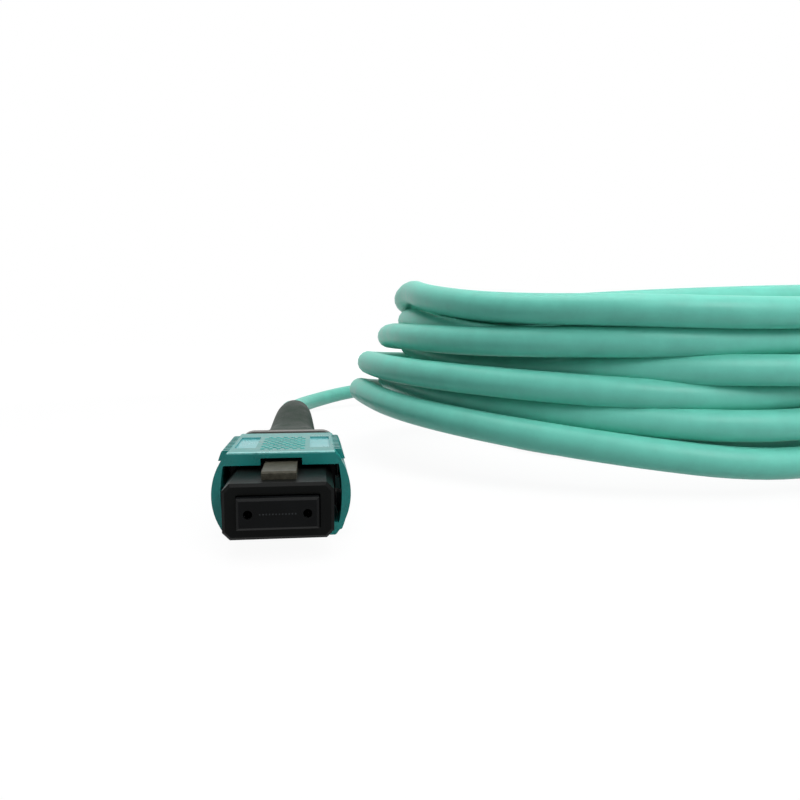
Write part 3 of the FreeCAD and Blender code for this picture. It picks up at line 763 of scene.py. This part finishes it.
def floor_paper():
    """A pale paper that keeps the object's shadow and turns white further out."""
    material, tree, shader = new_material("floor_paper")
    shader.inputs["Base Color"].default_value = FLOOR_GREY
    shader.inputs["Roughness"].default_value = FLOOR_ROUGHNESS
    shader.inputs["Specular IOR Level"].default_value = 0.0
    white = tree.nodes.new("ShaderNodeEmission")
    white.inputs["Strength"].default_value = FLOOR_WHITE
    mix = tree.nodes.new("ShaderNodeMixShader")
    distance = tree.nodes.new("ShaderNodeVectorMath")
    distance.operation = "LENGTH"
    tree.links.new(place_of(tree, FLOOR_WHITE_MIDDLE), distance.inputs[0])
    share = spread(
        tree, distance.outputs["Value"], FLOOR_LEAST, FLOOR_MOST,
        (FLOOR_WHITE_FROM, FLOOR_WHITE_TO),
    )
    factor = mathematics(tree, "MULTIPLY", seen_ray(tree), share)
    tree.links.new(factor, mix.inputs["Fac"])
    tree.links.new(shader.outputs[0], mix.inputs[1])
    tree.links.new(white.outputs[0], mix.inputs[2])
    tree.links.new(mix.outputs[0], tree.nodes["Material Output"].inputs["Surface"])
    return material


def stage_floor():
    mesh = bpy.data.meshes.new("floor")
    side = FLOOR_HALF
    corners = [(-side, -side, 0), (side, -side, 0), (side, side, 0), (-side, side, 0)]
    mesh.from_pydata(corners, [], [(0, 1, 2, 3)])
    mesh.materials.append(floor_paper())
    floor = added("floor", mesh)


def world():
    """White where it is seen past the floor, soft grey light elsewhere."""
    scene.world = bpy.data.worlds.new("studio")
    scene.world.use_nodes = True
    tree = scene.world.node_tree
    tree.nodes.clear()
    output = tree.nodes.new("ShaderNodeOutputWorld")
    mix = tree.nodes.new("ShaderNodeMixShader")
    seen = tree.nodes.new("ShaderNodeBackground")
    light = tree.nodes.new("ShaderNodeBackground")
    seen.inputs["Color"].default_value = WORLD_WHITE
    light.inputs["Color"].default_value = WORLD_GREY
    light.inputs["Strength"].default_value = WORLD_LIGHT
    tree.links.new(seen_ray(tree), mix.inputs["Fac"])
    tree.links.new(light.outputs[0], mix.inputs[1])
    tree.links.new(seen.outputs[0], mix.inputs[2])
    tree.links.new(mix.outputs[0], output.inputs["Surface"])


LIGHTS = (                    # name, place, target and size in metres, watts, spread in degrees
    ("key", (0.0, 0.04, 0.4), (0.03, 0.03, 0.0), (0.35, 0.35), 1.15, 180.0),
    ("fill", (0.3, -0.25, 0.25), (0.05, 0.04, 0.0), (0.3, 0.3), 0.32, 180.0),
    ("coil", (0.1, -0.1, 0.13), (0.05, 0.02, 0.008), (0.1, 0.06), 0.014, 60.0),
)


def area_light(name, place, target, size, power, spread_angle):
    data = bpy.data.lights.new(name, "AREA")
    data.spread = math.radians(spread_angle)
    data.shape = "RECTANGLE"
    data.size, data.size_y = size
    data.energy = power
    lamp = added(name, data)
    lamp.location = place
    aim = Vector(target) - Vector(place)
    lamp.rotation_euler = aim.to_track_quat("-Z", "Y").to_euler()


CAMERA_PLACE = (2.8 * MM, -68.05 * MM, 16.8 * MM)
CAMERA_YAW = 7.1              # degrees to the right
CAMERA_PITCH = 4.5            # degrees down
CAMERA_LENS, CAMERA_SENSOR = 31.5, 36.0
CAMERA_NEAREST = 0.005        # metres


def photo_camera():
    data = bpy.data.cameras.new("photo")
    data.lens = CAMERA_LENS
    data.sensor_width = CAMERA_SENSOR
    data.clip_start = CAMERA_NEAREST
    camera = added("photo", data)
    camera.location = CAMERA_PLACE
    camera.rotation_euler = (
        math.radians(90 - CAMERA_PITCH),
        0.0,
        math.radians(-CAMERA_YAW),
    )
    scene.camera = camera


stage_floor()
world()
for light_row in LIGHTS:
    area_light(*light_row)
photo_camera()

scene.view_settings.view_transform = "Standard"
